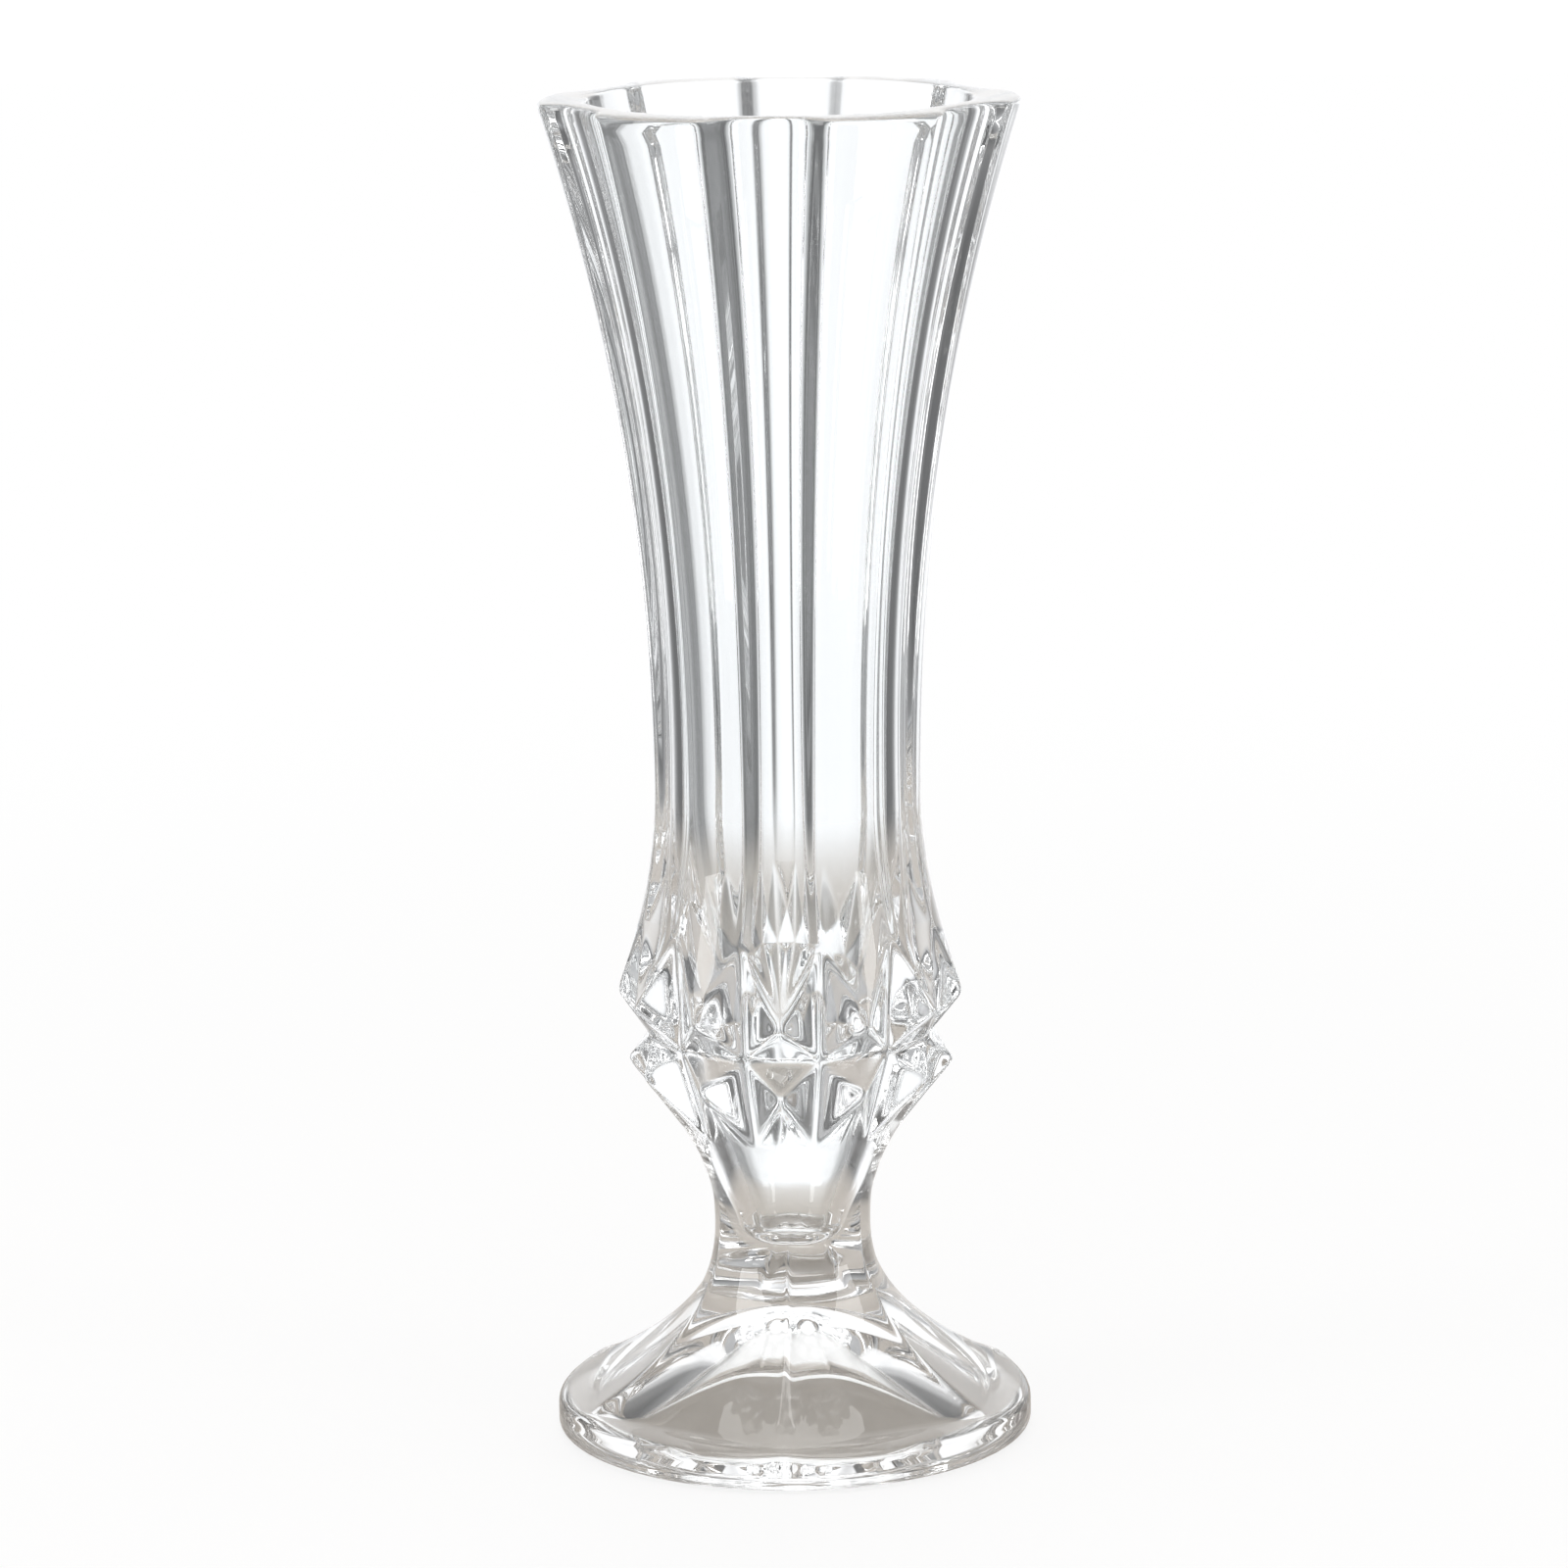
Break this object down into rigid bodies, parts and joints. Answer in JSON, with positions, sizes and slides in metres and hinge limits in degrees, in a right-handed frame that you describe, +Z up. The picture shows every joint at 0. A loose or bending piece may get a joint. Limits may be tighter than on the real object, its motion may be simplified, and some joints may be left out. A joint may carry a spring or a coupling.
{
  "type": "cut crystal bud vase",
  "caption": "Tall footed bud vase in clear crystal: fluted trumpet bowl, diamond-cut knop, slim stem and six-sided flared foot.",
  "frame": {"origin": "middle of the flat ring on which the foot rests, at its level", "axes": "+Z up along the vase's axis, -Y towards the middle of one bowl flute, +X towards a bowl rib"},
  "size_m": [0.0642, 0.0642, 0.18],
  "materials": {
    "bowl_crystal": "fire-polished clear lead crystal",
    "knop_crystal": "cut and polished clear lead crystal",
    "stem_crystal": "fire-polished clear lead crystal",
    "foot_crystal": "pressed and fire-polished clear lead crystal"
  },
  "bodies": {
    "root": {"bowl": "bowl_crystal", "diamond_knop": "knop_crystal", "stem": "stem_crystal", "foot": "foot_crystal"}
  },
  "joints": []
}
